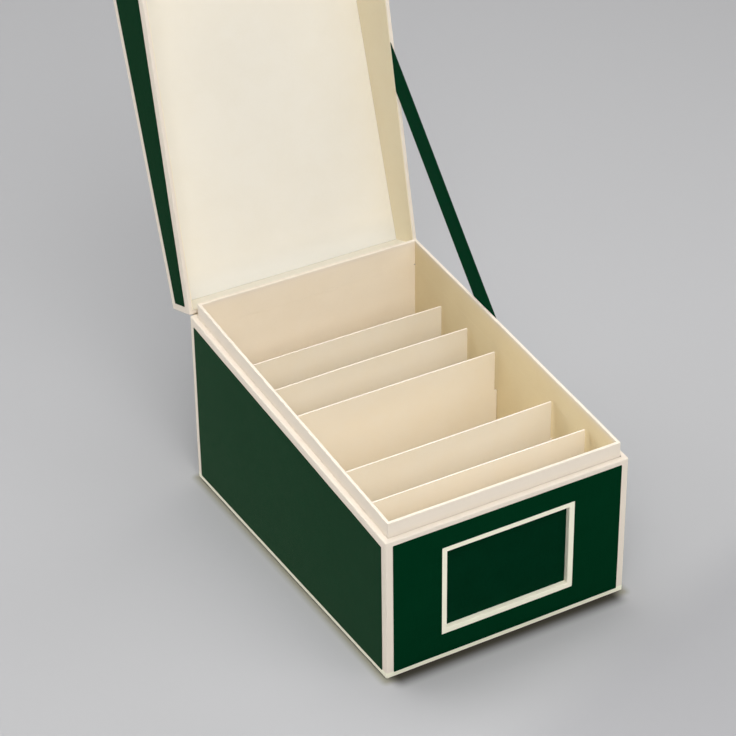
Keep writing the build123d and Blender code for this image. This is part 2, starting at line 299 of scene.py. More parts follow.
# Painted light: far off, the sheet's colour goes to black and it glows in the room's grey instead, though
# it is no lamp.
table_glow = table.between(table.length(table_place), GLOW_START, GLOW_END)
table_tone = table.mix(painted_shade_near_end, FLOOR_COLOUR, FLOOR_PAINTED_SHADE)
table_tone = table.mix(foot_shade, table_tone, FOOT_SHADE)
table_tone = table.mix(at_front * front_fade * front_ends, table_tone, FRONT_SHADE)
table.set("Base Color", table.mix(table_glow, table_tone, BLACK))
table.set("Emission Strength", 1.0)
table.set("Emission Color", table.mix(table_glow, BLACK, (*ROOM_GREY, 1)))
floor.data.materials.append(table.material)


# Grey boards: the body's, neck's and lid's boards are raw grey board, cut square and glued edge to edge.
# Paper and cloth hide them, and they keep the shapes that they have in the frame.
BOARD_COLOUR = (0.25, 0.23, 0.20, 1)
BOARD_FLECK = (0.36, 0.33, 0.28, 1)
BOARD_FIBRE_SIZE = 1.2 * MM
BOARD_FLECK_SIZE = 0.5 * MM
BOARD_FLECK_RANGE = (0.58, 0.66)
BOARD_FLECK_SHARE = 0.7
BOARD_RELIEF = 0.05 * MM

grey_board = Finish("grey_board", specular=0.2, roughness=0.9)
board_place = grey_board.place()
board_fibre = grey_board.cloud(board_place, BOARD_FIBRE_SIZE, detail=4)
board_flecks = grey_board.between(grey_board.cloud(board_place, BOARD_FLECK_SIZE), *BOARD_FLECK_RANGE)
board_tone = board_flecks * BOARD_FLECK_SHARE + board_fibre * (1 - BOARD_FLECK_SHARE)
grey_board.set("Base Color", grey_board.mix(board_tone, BOARD_COLOUR, BOARD_FLECK))
grey_board.relief((board_fibre, BOARD_RELIEF))

for node_name, node in frame["nodes"].items():
    if node_name.endswith("_board"):
        node.data.materials.clear()
        node.data.materials.append(grey_board.material)


# Covering paper of the body: one cream sheet round the outside, folded over the sloping rim, through the
# label window and under the foot. It is glued on by hand, so it never lies quite flat.
BOX_WIDTH = 178 * MM
BOX_DEPTH = 258 * MM
FRONT_HEIGHT = 105.6 * MM
FOOT_SHEET = 1.3 * MM
COVERING_PAPER = 0.4 * MM
SHELL_WALL = 3.4 * MM
EDGE_ROUND = 0.9 * MM
FOOT_SQUASH = 0.5
UNDERSIDE_TURN_IN = 16 * MM
WINDOW_WIDTH = 90 * MM
WINDOW_HEIGHT = 59.2 * MM
WINDOW_MIDDLE = 53.7 * MM
WINDOW_ROUND = 0.35 * MM
RIM_LAP = 0.35 * MM
RIM_LAP_DEPTH = 0.3 * MM
PAPER_WAVE = 0.12 * MM
PAPER_WAVE_LENGTH = 45 * MM
WAVE_SEED = 1
PULP_SIZE = 28 * MM
FIBRE_SIZE = 0.7 * MM
TOOTH_SIZE = 0.22 * MM
PULP_RANGE = (0.35, 0.68)
FIBRE_RANGE = (0.35, 0.70)
PULP_SHARE = 0.55
FIBRE_SHARE = 0.35
FIBRE_STRETCH = (1, 0.35, 1)
RUBBED_POWER = 8
PAPER_ROUGHNESS = 0.64
FIBRE_ROUGHNESS = 0.2
PULP_RELIEF = 0.10 * MM
FIBRE_RELIEF = 0.02 * MM
TOOTH_RELIEF = 0.012 * MM
CREAM = (0.835, 0.735, 0.520, 1)
CREAM_DEEP = (0.805, 0.697, 0.490, 1)
# A paler cream for the folds: real rubbing, painted paler still as a highlight.
CREAM_WORN_AND_LIT = (0.864, 0.774, 0.656, 1)
# A paler cream, painted along the foot and round the window as painted light.
CREAM_PAINTED_LIGHT = (0.985, 0.950, 0.765, 1)
# A duller cream, painted on the flat of the rim as painted shade.
CREAM_RIM_SHADED = (0.815, 0.728, 0.622, 1)
RIM_BAND = 0.4 * MM
RIM_FADE = 0.3 * MM
PAINTED_LIGHT_FOOT = 5 * MM
PAINTED_LIGHT_FRAME = 4.5 * MM
PAINTED_LIGHT_FADE = 1.5 * MM

# What a block is made too tall by before the slope is cut, and how far apart the lines are that let a piece
# bend.
SPARE = Vector((0, 0, 20)) * MM
GRID = 12 * MM

# Distances that count as merged, as none at all, as touching and as nearby.
MERGE = 0.02 * MM
HAIR = 0.01 * MM
TOUCH = 0.1 * MM
NEARBY = 1 * MM

# The least angle of a square edge, and of one that is shaded sharp. Then the least cosines for a face that
# looks straight in a direction, and for one that looks roughly in it.
SQUARE_EDGE = radians(50)
SMOOTH_EDGE = radians(40)
STRAIGHT = 0.999
ALIGNED = 0.9

hinge = next(joint for joint in frame["joints"] if joint["name"] == "lid_hinge")
HINGE_LINE = Vector(hinge["pos_m"])
OPEN_ANGLE = -radians(hinge["range_deg"][0])
HALF_WIDTH = BOX_WIDTH / 2
HALF_DEPTH = BOX_DEPTH / 2
REAR_HEIGHT = HINGE_LINE.z
RIM_RISE = REAR_HEIGHT - FRONT_HEIGHT
RIM_NORMAL = Vector((0, -RIM_RISE, BOX_DEPTH)).normalized()
WINDOW_CENTRE = Vector((0, -HALF_DEPTH, WINDOW_MIDDLE))
FOLDS = "folds"


def select_only(piece):
    """Select one piece, and make it the active one."""
    bpy.ops.object.select_all(action="DESELECT")
    bpy.context.view_layer.objects.active = piece
    piece.select_set(True)


def block(name, low, high):
    """A new block between two corners, with its place in its mesh."""
    bpy.ops.object.select_all(action="DESELECT")
    low, high = Vector(low), Vector(high)
    bpy.ops.mesh.primitive_cube_add(size=1, location=(low + high) / 2, scale=high - low)
    piece = bpy.context.object
    piece.name = piece.data.name = name
    bpy.ops.object.transform_apply(location=True, rotation=False, scale=False)
    return piece


@contextmanager
def shaping(piece):
    """Edit mode on one piece, with all of it selected."""
    select_only(piece)
    bpy.ops.object.mode_set(mode="EDIT")
    bpy.ops.mesh.select_all(action="SELECT")
    yield piece
    bpy.ops.object.mode_set(mode="OBJECT")


def pick(piece, kind, wanted):
    """Select the faces or edges that pass a test, and nothing else."""
    bpy.ops.mesh.select_mode(type=kind)
    bpy.ops.mesh.select_all(action="DESELECT")
    mesh = bmesh.from_edit_mesh(piece.data)
    for element in mesh.faces if kind == "FACE" else mesh.edges:
        element.select_set(wanted(element))
    bmesh.update_edit_mesh(piece.data)


def facing(*direction):
    """A test for flat faces that look straight in a direction."""
    return lambda face: face.normal.dot(Vector(direction)) > STRAIGHT


def centred(point):
    """A test for the face whose middle is at a point."""
    return lambda face: (face.calc_center_median() - point).length < NEARBY


def sharp(edge):
    """A test for the edges between two faces that meet squarely."""
    return len(edge.link_faces) == 2 and edge.calc_face_angle() > SQUARE_EDGE


def convex(edge):
    """A test for square edges that stick out, and not those that lie in a hollow."""
    return sharp(edge) and edge.is_convex


def edge_middle(edge):
    return (edge.verts[0].co + edge.verts[1].co) / 2


def runs_along(edge, direction):
    """Whether an edge runs along a direction, either way."""
    run = (edge.verts[1].co - edge.verts[0].co).normalized()
    return abs(run.dot(Vector(direction))) > ALIGNED


def borders(edge, direction):
    """Whether a face beside an edge looks in a direction."""
    return any(face.normal.dot(Vector(direction)) > ALIGNED for face in edge.link_faces)


def rim_height(y):
    """Height of the body's sloping rim at y."""
    return FRONT_HEIGHT + RIM_RISE * (y + HALF_DEPTH) / BOX_DEPTH


def above_rim(point):
    """How far a point is above the body's rim, straight up."""
    return point.z - rim_height(point.y)


def cut(point, normal, clear=False, fill=False):
    """Cut what is selected along a plane, and clear away what lies beyond it."""
    bpy.ops.mesh.bisect(plane_co=point, plane_no=normal, clear_outer=clear, use_fill=fill)


def slice_through(point, normal):
    """Cut a whole piece along a plane, and keep both sides."""
    bpy.ops.mesh.select_all(action="SELECT")
    cut(point, normal)


def trim(height, side, fill=True):
    """Cut a piece off along the rim's slope, moved up by a height: side 1 clears above it and -1 below."""
    bpy.ops.mesh.select_all(action="SELECT")
    cut(HINGE_LINE + Vector((0, 0, height)), RIM_NORMAL * side, clear=True, fill=fill)


def open_face(piece, wanted, border):
    """Leave a border round a face and take its middle away."""
    pick(piece, "FACE", wanted)
    bpy.ops.mesh.inset(thickness=border, use_even_offset=True)
    bpy.ops.mesh.delete(type="FACE")


def round_edges(piece, wanted, radius, segments=3):
    """Round the edges that pass a test."""
    pick(piece, "EDGE", wanted)
    bpy.ops.mesh.bevel(offset=radius, segments=segments, affect="EDGES")


def mark_folds(piece):
    """Note where paper is folded: what was just rounded, which rubs pale and is painted paler as a
    highlight.
    """
    mesh = bmesh.from_edit_mesh(piece.data)
    folds = mesh.verts.layers.float.get(FOLDS) or mesh.verts.layers.float.new(FOLDS)
    for vertex in mesh.verts:
        if vertex.select:
            vertex[folds] = 1
    bmesh.update_edit_mesh(piece.data)


def grid_lines(piece):
    """Slice a piece along all three axes, so that it can bend."""
    lowest, highest = Vector(piece.bound_box[0]), Vector(piece.bound_box[6])
    for axis in range(3):
        low, high = lowest[axis], highest[axis]
        normal = Vector((0, 0, 0))
        normal[axis] = 1
        count = int((high - low) / GRID)
        for step in range(1, count):
            slice_through(normal * (low + (high - low) * step / count), normal)
    bpy.ops.mesh.select_all(action="SELECT")
    bpy.ops.mesh.remove_doubles(threshold=MERGE)


# Without a seed of its own, the noise takes one from the clock, and the waves differ from run to run.
noise.seed_set(WAVE_SEED)


def settle(piece, depth=PAPER_WAVE):
    """Move a piece a little out of true, the same way for all that lies at the same place."""
    for vertex in piece.data.vertices:
        vertex.co += noise.noise_vector(vertex.co / PAPER_WAVE_LENGTH) * depth


def thicken(piece, thickness, offset=-1):
    """Give a sheet its thickness, inwards from its faces for offset -1 and outwards for 1."""
    solid = piece.modifiers.new("thickness", "SOLIDIFY")
    solid.thickness = thickness
    solid.offset = offset
    bpy.ops.object.modifier_apply(modifier=solid.name)


def finish_piece(piece, body, slot, finish, *nodes):
    """Smooth a piece, give it its finish and body, and let it stand for its CAD nodes. Its slot is not
    used.
    """
    select_only(piece)
    bpy.ops.object.shade_smooth_by_angle(angle=SMOOTH_EDGE)
    even = piece.modifiers.new("even_normals", "WEIGHTED_NORMAL")
    even.keep_sharp = True
    bpy.ops.object.modifier_apply(modifier=even.name)
    piece.data.materials.clear()
    piece.data.materials.append(finish.material)
    if body:
        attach(piece, body)
    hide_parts(*nodes)


def paper_finish(name, colour, deep, worn):
    """Cream paper: faint clouds in its pulp, a fine tooth, and paler at its folds, from rubbing and a
    painted highlight.
    """
    paper = Finish(name, specular=0.25)
    place = paper.place()
    pulp = paper.cloud(place, PULP_SIZE, detail=5, roughness=0.6)
    fibre = paper.cloud(paper.place(FIBRE_STRETCH), FIBRE_SIZE, detail=4, roughness=0.65)
    tooth = paper.cloud(place, TOOTH_SIZE, detail=2)
    shade = paper.between(pulp, *PULP_RANGE) * PULP_SHARE + paper.between(fibre, *FIBRE_RANGE) * FIBRE_SHARE
    folded = paper.node("ShaderNodeAttribute", {"attribute_name": FOLDS}, output="Fac")
    # The folds are paler from rubbing and from a painted highlight.
    rubbed = paper.maths("POWER", folded, RUBBED_POWER)
    paper.set("Base Color", paper.mix(rubbed, paper.mix(shade, colour, deep), worn))
    paper.set("Roughness", PAPER_ROUGHNESS + fibre * FIBRE_ROUGHNESS)
    paper.relief((pulp, PULP_RELIEF), (fibre, FIBRE_RELIEF), (tooth, TOOTH_RELIEF))
    return paper


cream_paper = paper_finish("cream_paper", CREAM, CREAM_DEEP, CREAM_WORN_AND_LIT)

# Painted light: the body's paper is painted paler along its foot and round its window, where its edges
# catch more light.
paper_place = cream_paper.place()
paper_height = cream_paper.along(paper_place, (0, 0, 1))
painted_light_top = FOOT_SHEET + PAINTED_LIGHT_FOOT
near_foot = cream_paper.between(paper_height, painted_light_top - PAINTED_LIGHT_FADE, painted_light_top, 1, 0)
painted_light_half = (WINDOW_WIDTH / 2 + PAINTED_LIGHT_FRAME, SHELL_WALL, WINDOW_HEIGHT / 2 + PAINTED_LIGHT_FRAME)
from_window = cream_paper.vectors("SUBTRACT", paper_place, WINDOW_CENTRE)
past_window = cream_paper.vectors("SUBTRACT", cream_paper.vectors("ABSOLUTE", from_window), painted_light_half)
window_reach = cream_paper.length(cream_paper.vectors("MAXIMUM", past_window, (0, 0, 0)))
near_window = cream_paper.between(window_reach, 0, PAINTED_LIGHT_FADE, 1, 0)
cream_paper.tint(cream_paper.maths("MAXIMUM", near_foot, near_window), CREAM_PAINTED_LIGHT)

# Painted shade: the flat of the rim is painted duller, to tone down the light that falls on it.
from_rim = cream_paper.vectors("SUBTRACT", paper_place, HINGE_LINE)
off_rim = cream_paper.maths("ABSOLUTE", cream_paper.along(from_rim, RIM_NORMAL))
cream_paper.tint(cream_paper.between(off_rim, RIM_BAND - RIM_FADE, RIM_BAND, 1, 0), CREAM_RIM_SHADED)

body_corner = Vector((HALF_WIDTH, HALF_DEPTH, REAR_HEIGHT)) + SPARE
body_paper = block("body_paper", (-HALF_WIDTH, -HALF_DEPTH, FOOT_SHEET), body_corner)
with shaping(body_paper):
    trim(0, 1)
    round_edges(body_paper, sharp, EDGE_ROUND, 4)
    mark_folds(body_paper)
    open_face(body_paper, facing(0, 0, -1), UNDERSIDE_TURN_IN)
    open_face(body_paper, facing(*RIM_NORMAL), SHELL_WALL - EDGE_ROUND)
    for x in (-WINDOW_WIDTH / 2, WINDOW_WIDTH / 2):
        pick(body_paper, "FACE", facing(0, -1, 0))
        cut((x, 0, 0), (1, 0, 0))
    for z in (-WINDOW_HEIGHT / 2, WINDOW_HEIGHT / 2):
        pick(body_paper, "FACE", facing(0, -1, 0))
        cut((0, 0, WINDOW_MIDDLE + z), (0, 0, 1))
    pick(body_paper, "FACE", centred(WINDOW_CENTRE))
    bpy.ops.mesh.extrude_region_move(TRANSFORM_OT_translate={"value": (0, SHELL_WALL, 0)})
    bpy.ops.mesh.delete(type="FACE")
    front_plane = HAIR - HALF_DEPTH
    round_edges(body_paper, lambda edge: convex(edge) and edge_middle(edge).y < front_plane, WINDOW_ROUND)
    mark_folds(body_paper)
    grid_lines(body_paper)

# The round at the foot is pressed flatter than the others, and the left lip of the rim leans to the neck.
for vertex in body_paper.data.vertices:
    from_lip = abs(vertex.co.x + HALF_WIDTH - SHELL_WALL)
    if vertex.co.z < FOOT_SHEET + EDGE_ROUND:
        vertex.co.z = FOOT_SHEET + (vertex.co.z - FOOT_SHEET) * FOOT_SQUASH
    if from_lip < TOUCH and above_rim(vertex.co) > -RIM_LAP_DEPTH:
        vertex.co.x += RIM_LAP
settle(body_paper)
thicken(body_paper, COVERING_PAPER)
finish_piece(body_paper, "box", "cream_paper", cream_paper, "base_wrap")


# Green cloth panels of the body: four pieces of dark bookcloth pasted on the paper, with a cream margin
# left bare around each. Their cut edges are a little soft, and the front one is cut out around the window.
CLOTH = 0.4 * MM
CLOTH_SUNK = 0.1 * MM
SIDE_MARGIN = 5.2 * MM
FOOT_MARGIN = 3.7 * MM
FRONT_TOP_MARGIN = 3.6 * MM
SLOPE_TOP_MARGIN = 6.0 * MM
WINDOW_BORDER = 3.9 * MM
CORNER_CUT = 0.5 * MM
CLOTH_EDGE = 0.14 * MM
THREAD = 0.62 * MM
SLUB_STRETCH = 0.04
RUB_SIZE = 22 * MM
WEAVE_SHARE = 0.30
SLUB_SHARE = 0.35
RUB_SHARE = 0.25
CLOTH_TONE_RANGE = (0.3, 0.75)
CLOTH_ROUGHNESS = 0.78
WEAVE_ROUGHNESS = 0.14
SLUB_RELIEF = 0.04 * MM
WEAVE_RELIEF = 0.05 * MM
GREEN = (0.0001, 0.0265, 0.0088, 1)
GREEN_WORN = (0.0007, 0.0350, 0.0125, 1)
CLOTH_SHEEN = 0.48
CLOTH_SHEEN_SPREAD = 0.25
CLOTH_SHEEN_TINT = (0.74, 1.0, 0.68, 1)
PANEL_FOOT = FOOT_SHEET + FOOT_MARGIN
PANEL_ACROSS = (SIDE_MARGIN - HALF_WIDTH, HALF_WIDTH - SIDE_MARGIN)
PANEL_BACK = (SIDE_MARGIN - HALF_DEPTH, HALF_DEPTH - SIDE_MARGIN)


def cloth_finish(name, bloom):
    """Bookcloth: a plain weave of uneven threads, with a pale bloom where it is seen aslant."""
    spread, tint = CLOTH_SHEEN_SPREAD, CLOTH_SHEEN_TINT
    cloth = Finish(name, specular=0.0, sheen=bloom, sheen_roughness=spread, sheen_tint=tint)
    across, up = cloth.split(cloth.thread_place((1 / THREAD, 1 / THREAD, 1)))
    over = 0.5 + 0.5 * cloth.maths("SINE", across * pi) * cloth.maths("SINE", up * pi)
    weave = cloth.waves(across) * over + cloth.waves(up) * (1 - over)
    slub_across = cloth.cloud(cloth.thread_place((1 / THREAD, SLUB_STRETCH / THREAD, 1)), 1.0, detail=2)
    slub_up = cloth.cloud(cloth.thread_place((SLUB_STRETCH / THREAD, 1 / THREAD, 1)), 1.0, detail=2)
    slubs = slub_across + slub_up
    rubbed = cloth.cloud(cloth.place(), RUB_SIZE, detail=6, roughness=0.65)
    tone = (weave * WEAVE_SHARE + slubs * SLUB_SHARE) * (1 - RUB_SHARE) + rubbed * RUB_SHARE
    cloth.set("Base Color", cloth.mix(cloth.between(tone, *CLOTH_TONE_RANGE), GREEN, GREEN_WORN))
    cloth.set("Roughness", CLOTH_ROUGHNESS + WEAVE_ROUGHNESS * weave)
    cloth.relief((slubs, SLUB_RELIEF), (weave, WEAVE_RELIEF))
    return cloth


def skin(face):
    """The two levels that a cloth lies between, on a face so far from the middle."""
    outer = face + copysign(CLOTH, face)
    inner = face - copysign(CLOTH_SUNK, face)
    return min(inner, outer), max(inner, outer)


def slab(name, across, back, rise):
    """A new block that fills a run from left to right, one from front to rear and one upwards."""
    return block(name, *zip(across, back, rise))


def map_threads(piece, across, up):
    """Lay the thread map on a piece: metres along its two directions."""
    across, up = Vector(across), Vector(up)
    layer = piece.data.uv_layers.new(name=THREAD_MAP)
    for loop in piece.data.loops:
        where = piece.data.vertices[loop.vertex_index].co
        layer.data[loop.index].uv = (where.dot(across), where.dot(up))


def soften_panel(piece, outward):
    """Clip the corners of a cut panel by a hair and soften the edges of its outer face."""
    round_edges(piece, lambda edge: sharp(edge) and runs_along(edge, outward), CORNER_CUT)
    round_edges(piece, lambda edge: sharp(edge) and borders(edge, outward), CLOTH_EDGE, 2)


green_cloth = cloth_finish("green_cloth", CLOTH_SHEEN)


def paste_on_body(cloth, across, up, panel):
    """Paste a cut cloth on the body, not quite flat, with its threads along two directions."""
    settle(cloth)
    map_threads(cloth, across, up)
    finish_piece(cloth, "box", "green_cloth", green_cloth, panel)


for side, side_name in ((-1, "left"), (1, "right")):
    side_cloth = slab(f"{side_name}_cloth", skin(side * HALF_WIDTH), PANEL_BACK, (PANEL_FOOT, REAR_HEIGHT))
    with shaping(side_cloth):
        trim(-SLOPE_TOP_MARGIN, 1)
        soften_panel(side_cloth, (side, 0, 0))
        grid_lines(side_cloth)
    paste_on_body(side_cloth, (0, 1, 0), (0, 0, 1), f"base_{side_name}_panel")

rear_rise = (PANEL_FOOT, REAR_HEIGHT - SLOPE_TOP_MARGIN)
rear_cloth = slab("rear_cloth", PANEL_ACROSS, skin(HALF_DEPTH), rear_rise)
with shaping(rear_cloth):
    soften_panel(rear_cloth, (0, 1, 0))
    grid_lines(rear_cloth)
paste_on_body(rear_cloth, (1, 0, 0), (0, 0, 1), "base_rear_panel")

front_rise = (PANEL_FOOT, FRONT_HEIGHT - FRONT_TOP_MARGIN)
front_cloth = slab("front_cloth", PANEL_ACROSS, skin(-HALF_DEPTH), front_rise)
cutout_x = WINDOW_WIDTH / 2 + WINDOW_BORDER
cutout_z = WINDOW_HEIGHT / 2 + WINDOW_BORDER
with shaping(front_cloth):
    for x in (-cutout_x, cutout_x):
        slice_through((x, 0, 0), (1, 0, 0))
    for z in (-cutout_z, cutout_z):
        slice_through((0, 0, WINDOW_MIDDLE + z), (0, 0, 1))
    pick(front_cloth, "FACE", centred(WINDOW_CENTRE))
    bpy.ops.mesh.bridge_edge_loops()
    soften_panel(front_cloth, (0, -1, 0))
    grid_lines(front_cloth)
paste_on_body(front_cloth, (1, 0, 0), (0, 0, 1), "base_front_panel")


# Card under the foot: covered with the same green cloth and pasted over the paper's turned-in edges. It
# stands back from them, so that the edges of the box are just off the table and leave a dark line there.
foot_sheet = block("foot_sheet", *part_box("base_bottom_sheet"))
with shaping(foot_sheet):
    soften_panel(foot_sheet, (0, 0, -1))
    grid_lines(foot_sheet)
map_threads(foot_sheet, (1, 0, 0), (0, 1, 0))
finish_piece(foot_sheet, "box", "green_cloth", green_cloth, "base_bottom_sheet")


# Neck: four thin boards inside the body that the closed lid seats around. Cream paper is folded over their
# top edge, and its turned-in ends are slit at the corners.
NECK_SLOT = 0.5 * MM
NECK_WALL = 2.2 * MM
NECK_PAPER = 0.2 * MM
NECK_RISE = 10.5 * MM
NECK_TURN_IN = 19 * MM
NECK_ROUND = 0.5 * MM
NECK_WAVE = 0.10 * MM
SLIT_WIDTH = 1.1 * MM
SLIT_HEIGHT = 2.4 * MM
LINING = (0.935, 0.832, 0.675, 1)
LINING_DEEP = (0.910, 0.800, 0.635, 1)
# A darker, yellower copy of the lining for the right wall's inner face: painted shade and painted bounce
# light.
SIDE_LINING_SHADED = (0.893, 0.772, 0.510, 1)
SIDE_LINING_SHADED_DEEP = (0.868, 0.740, 0.475, 1)

# A face counts as turned sideways from an axis where its normal goes less than this along it.
SIDEWAYS = 0.5

lining_paper = paper_finish("lining_paper", LINING, LINING_DEEP, CREAM_WORN_AND_LIT)
shaded_side_lining = paper_finish("shaded_side_lining", SIDE_LINING_SHADED, SIDE_LINING_SHADED_DEEP, CREAM_WORN_AND_LIT)


def line_right_wall(piece):
    """Give the inner face of the right wall its own darker, yellower paper, as painted shade and painted
    warm bounce light.
    """
    piece.data.materials.append(shaded_side_lining.material)
    slot = len(piece.data.materials) - 1
    for face in piece.data.polygons:
        if face.normal.x < -ALIGNED and face.center.x > 0:
            face.material_index = slot


def on_neck_top(edge):
    """A test for the open edges along the top of the neck."""
    return edge.is_boundary and above_rim(edge_middle(edge)) > NECK_RISE - NEARBY


neck_low, neck_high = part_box("neck_wrap")
neck_paper = block("neck_paper", neck_low, neck_high + SPARE)
with shaping(neck_paper):
    trim(NECK_RISE, 1)
    trim(NECK_RISE - NECK_TURN_IN, -1, fill=False)
    open_face(neck_paper, facing(*RIM_NORMAL), NECK_WALL)
    pick(neck_paper, "EDGE", on_neck_top)
    bpy.ops.mesh.extrude_region_move(TRANSFORM_OT_translate={"value": (0, 0, -NECK_TURN_IN)})
    round_edges(neck_paper, convex, NECK_ROUND)
    mark_folds(neck_paper)
    inner_corner = Vector((neck_high.x - NECK_WALL, neck_high.y - NECK_WALL, 0))
    for side in (-1, 1):
        slice_through((side * (inner_corner.x - SLIT_WIDTH), 0, 0), (1, 0, 0))
        slice_through((0, side * (inner_corner.y - SLIT_WIDTH), 0), (0, 1, 0))
    grid_lines(neck_paper)
for vertex in neck_paper.data.vertices:
    at_corner = abs(abs(vertex.co.x) - inner_corner.x) + abs(abs(vertex.co.y) - inner_corner.y) < TOUCH
    if at_corner and above_rim(vertex.co) < NECK_RISE - NECK_TURN_IN + TOUCH:
        vertex.co.z += SLIT_HEIGHT
settle(neck_paper, NECK_WAVE)
thicken(neck_paper, NECK_PAPER)
finish_piece(neck_paper, "box", "cream_paper", cream_paper, "neck_wrap")
neck_paper.data.materials.append(lining_paper.material)
for face in neck_paper.data.polygons:
    inside_x = abs(face.center.x) < inner_corner.x + NECK_PAPER
    inside_y = abs(face.center.y) < inner_corner.y + NECK_PAPER
    face.material_index = int(inside_x and inside_y and abs(face.normal.z) < SIDEWAYS)
line_right_wall(neck_paper)


# Linings: one strip of smooth cream paper, pasted round the neck's inner walls up to its folded edge, and a
# card covered with the same paper that is laid on the floor.
LINING_GAP = 0.04 * MM
LINING_CORNER = 0.4 * MM

lining_low, lining_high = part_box("wall_lining")
lining_skin = Vector((NECK_PAPER, NECK_PAPER, 0))
wall_lining = block("wall_lining_paper", lining_low + lining_skin, lining_high - lining_skin + SPARE)
with shaping(wall_lining):
    trim(NECK_RISE - NECK_TURN_IN - LINING_GAP, 1, fill=False)
    pick(wall_lining, "FACE", facing(0, 0, -1))
    bpy.ops.mesh.delete(type="FACE")
    round_edges(wall_lining, lambda edge: sharp(edge) and runs_along(edge, (0, 0, 1)), LINING_CORNER)
    grid_lines(wall_lining)
    bpy.ops.mesh.select_all(action="SELECT")
    bpy.ops.mesh.flip_normals()
settle(wall_lining, NECK_WAVE)
thicken(wall_lining, NECK_PAPER)
finish_piece(wall_lining, "box", "cream_paper", lining_paper, "wall_lining")
line_right_wall(wall_lining)

floor_card = frame["nodes"]["floor_lining"]
floor_card.data.materials.clear()
floor_card.data.materials.append(lining_paper.material)


# Label card: a plain card of green board with round corners. It stands loose in the slot between the front
# board and the neck, and shows through the window.
CARD_CORNER = 2 * MM
CARD_EDGE = 0.06 * MM
CARD_GREEN = (0.0001, 0.0230, 0.0082, 1)
CARD_GREEN_PALE = (0.0004, 0.0275, 0.0105, 1)
CARD_FIBRE_SIZE = 0.9 * MM
CARD_FIBRE_STRETCH = (1, 1, 0.4)
CARD_CLOUD_SIZE = 18 * MM
CARD_FIBRE_SHARE = 0.6
CARD_TONE_RANGE = (0.35, 0.65)
CARD_ROUGHNESS = 0.5
CARD_FIBRE_ROUGHNESS = 0.25
CARD_RELIEF = 0.02 * MM

label_green = Finish("label_green", specular=0.01)
card_place = label_green.place(CARD_FIBRE_STRETCH)
card_fibre = label_green.cloud(card_place, CARD_FIBRE_SIZE, detail=5, roughness=0.6)
card_clouds = label_green.cloud(label_green.place(), CARD_CLOUD_SIZE, detail=4)
card_mottle = card_fibre * CARD_FIBRE_SHARE + card_clouds * (1 - CARD_FIBRE_SHARE)
card_tone = label_green.between(card_mottle, *CARD_TONE_RANGE)
label_green.set("Base Color", label_green.mix(card_tone, CARD_GREEN, CARD_GREEN_PALE))
label_green.set("Roughness", CARD_ROUGHNESS + card_fibre * CARD_FIBRE_ROUGHNESS)
label_green.relief((card_fibre, CARD_RELIEF))

label_card = block("green_label_card", *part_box("label_card"))
with shaping(label_card):
    round_edges(label_card, lambda edge: runs_along(edge, (0, 1, 0)), CARD_CORNER, 5)
    round_edges(label_card, sharp, CARD_EDGE, 2)
    grid_lines(label_card)
finish_piece(label_card, "label", "label_card", label_green, "label_card")


# Lid: a wedge-shaped tray of grey board with the same papers and cloth. Cream paper is folded over its rim,
# and the lining starts just inside it. Its pieces are made as on the closed lid, then turned back with it.
LID_REAR_HEIGHT = 27.5 * MM
LID_WRAP_WALL = 2.8 * MM
LID_WALL = 3.2 * MM
LID_LINING = 0.4 * MM
LID_MARGIN = 6.3 * MM
RIM_GAP = 0.3 * MM
RIM_TURN = 0.7 * MM
RIM_INNER_ROUND = 0.3 * MM
LINING_BACK = 0.35 * MM
SHEET_GAP = 0.03 * MM
SHEET_ROUND = 0.08 * MM
LID_LINING_CREAM = (0.882, 0.838, 0.740, 1)
LID_LINING_DEEP = (0.862, 0.813, 0.704, 1)
LID_LINING_FOOT_SHADE = (0.765, 0.745, 0.685, 1)
LID_FOOT_START = 2 * MM
LID_FOOT_END = 22 * MM
LID_WALL_CREAM = (0.935, 0.850, 0.645, 1)
LID_WALL_DEEP = (0.915, 0.820, 0.605, 1)
LID_CLOTH_SHEEN = 0.22
LID_START = 60 * MM
CLOSED_HEIGHT = REAR_HEIGHT + LID_REAR_HEIGHT
OPEN_TURN = (
    Matrix.Translation(HINGE_LINE)
    @ Matrix.Rotation(OPEN_ANGLE, 4, (-1, 0, 0))
    @ Matrix.Translation(-HINGE_LINE)
)


def turn_open(piece):
    """Turn a piece that was made as on the closed lid back with the open one."""
    select_only(piece)
    piece.matrix_world = OPEN_TURN
    bpy.ops.object.transform_apply(location=True, rotation=True, scale=True)


lid_corner = (HALF_WIDTH, HALF_DEPTH, CLOSED_HEIGHT)
lid_paper = block("lid_paper", (-HALF_WIDTH, -HALF_DEPTH, LID_START), lid_corner)
with shaping(lid_paper):
    trim(RIM_GAP, -1)
    round_edges(lid_paper, sharp, EDGE_ROUND, 4)
    mark_folds(lid_paper)
    open_face(lid_paper, facing(*-RIM_NORMAL), LID_WRAP_WALL - EDGE_ROUND)
    pick(lid_paper, "EDGE", lambda edge: edge.is_boundary)
    bpy.ops.mesh.extrude_region_move(TRANSFORM_OT_translate={"value": (0, 0, RIM_TURN)})
    round_edges(lid_paper, convex, RIM_INNER_ROUND)
    mark_folds(lid_paper)
    grid_lines(lid_paper)
settle(lid_paper)
thicken(lid_paper, COVERING_PAPER)
turn_open(lid_paper)
finish_piece(lid_paper, "lid", "cream_paper", cream_paper, "lid_wrap")

lid_wall_paper = paper_finish("lid_wall_paper", LID_WALL_CREAM, LID_WALL_DEEP, CREAM_WORN_AND_LIT)
lid_rear_paper = paper_finish("lid_rear_paper", LID_LINING_CREAM, LID_LINING_DEEP, CREAM_WORN_AND_LIT)
lid_lining_paper = paper_finish("lid_lining_paper", LID_LINING_CREAM, LID_LINING_DEEP, CREAM_WORN_AND_LIT)

